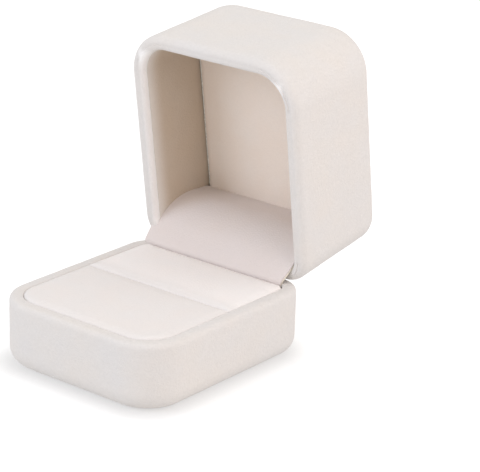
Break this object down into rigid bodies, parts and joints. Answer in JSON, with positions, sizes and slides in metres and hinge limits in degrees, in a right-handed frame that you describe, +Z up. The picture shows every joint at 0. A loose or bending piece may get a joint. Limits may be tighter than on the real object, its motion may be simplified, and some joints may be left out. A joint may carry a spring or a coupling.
{
  "type": "hinged ring box",
  "caption": "Velvet-covered ring box with a padded, slit base, a deep rounded lid on a snap hinge and a soft flap over the hinge.",
  "frame": {"origin": "middle of the underside, on the surface that the box stands on", "axes": "+Z up, +Y from the front of the base to the hinge, +X along the hinge; stored with the lid open"},
  "size_m": [0.05, 0.0852, 0.0743],
  "materials": {
    "outer_velvet": "matte",
    "pad_velvet": "matte",
    "lining_velvet": "matte",
    "felt": "matte",
    "foam": "matte",
    "card": "matte",
    "shell_plastic": "matte",
    "hinge_steel": "satin",
    "spring_steel": "satin"
  },
  "bodies": {
    "base": {"base_shell": "shell_plastic", "base_velvet_wrap": "outer_velvet", "underside_felt": "felt", "insert_card": "card", "front_pad_foam": "foam", "front_pad_cover": "pad_velvet", "rear_pad_foam": "foam", "rear_pad_cover": "pad_velvet", "hinge_base_leaf": "hinge_steel", "base_leaf_rivets": "hinge_steel", "hinge_pin": "hinge_steel", "snap_spring": "spring_steel", "hinge_flap_velvet": "lining_velvet", "hinge_flap_card": "card"},
    "lid": {"lid_shell": "shell_plastic", "lid_velvet_wrap": "outer_velvet", "lid_wall_card": "card", "lid_wall_velvet": "lining_velvet", "lid_panel_cover": "lining_velvet", "lid_panel_foam": "foam", "lid_panel_card": "card", "hinge_lid_leaf": "hinge_steel", "lid_leaf_rivets": "hinge_steel"}
  },
  "joints": [
    {"name": "lid_hinge", "type": "hinge", "parent": "base", "child": "lid", "pos_m": [0, 0.0265, 0.0176], "axis": [1, 0, 0], "range_deg": [0, 81.8], "deforming": ["hinge_flap_velvet", "hinge_flap_card"]}
  ]
}
